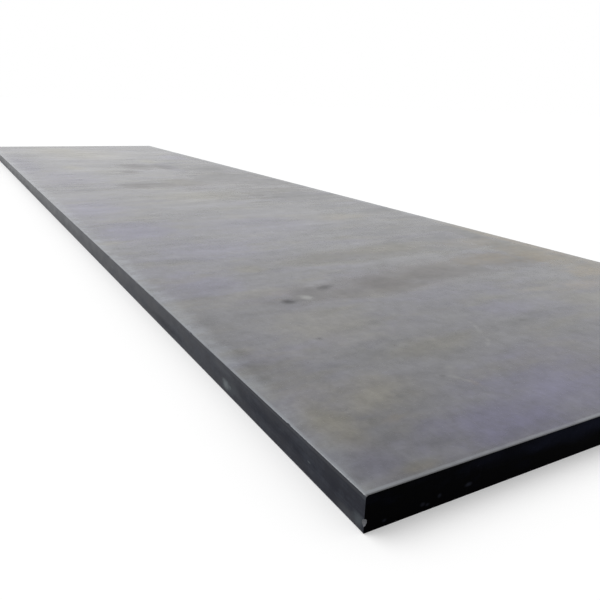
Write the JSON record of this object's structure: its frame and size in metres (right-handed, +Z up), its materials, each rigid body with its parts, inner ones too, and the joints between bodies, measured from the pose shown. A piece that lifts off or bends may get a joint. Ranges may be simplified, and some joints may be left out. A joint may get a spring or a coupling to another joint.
{
  "type": "steel plate",
  "caption": "Heavy hot-rolled steel plate, a long flat rectangle of raw stock with rounded mill arrises, square-cut ends and a small corner nick.",
  "frame": {"origin": "middle of the underside, where the plate rests", "axes": "+X along the length (the rolling direction), +Y across the width, +Z up through the thickness"},
  "size_m": [6, 1.5, 0.06],
  "materials": {
    "mill_scale_steel": "hot-rolled mill scale: satin blue-grey faces with faint streaks, stains and scratches, dark slate long sides and near-black cut ends"
  },
  "bodies": {
    "root": {"plate": "mill_scale_steel"}
  },
  "joints": []
}
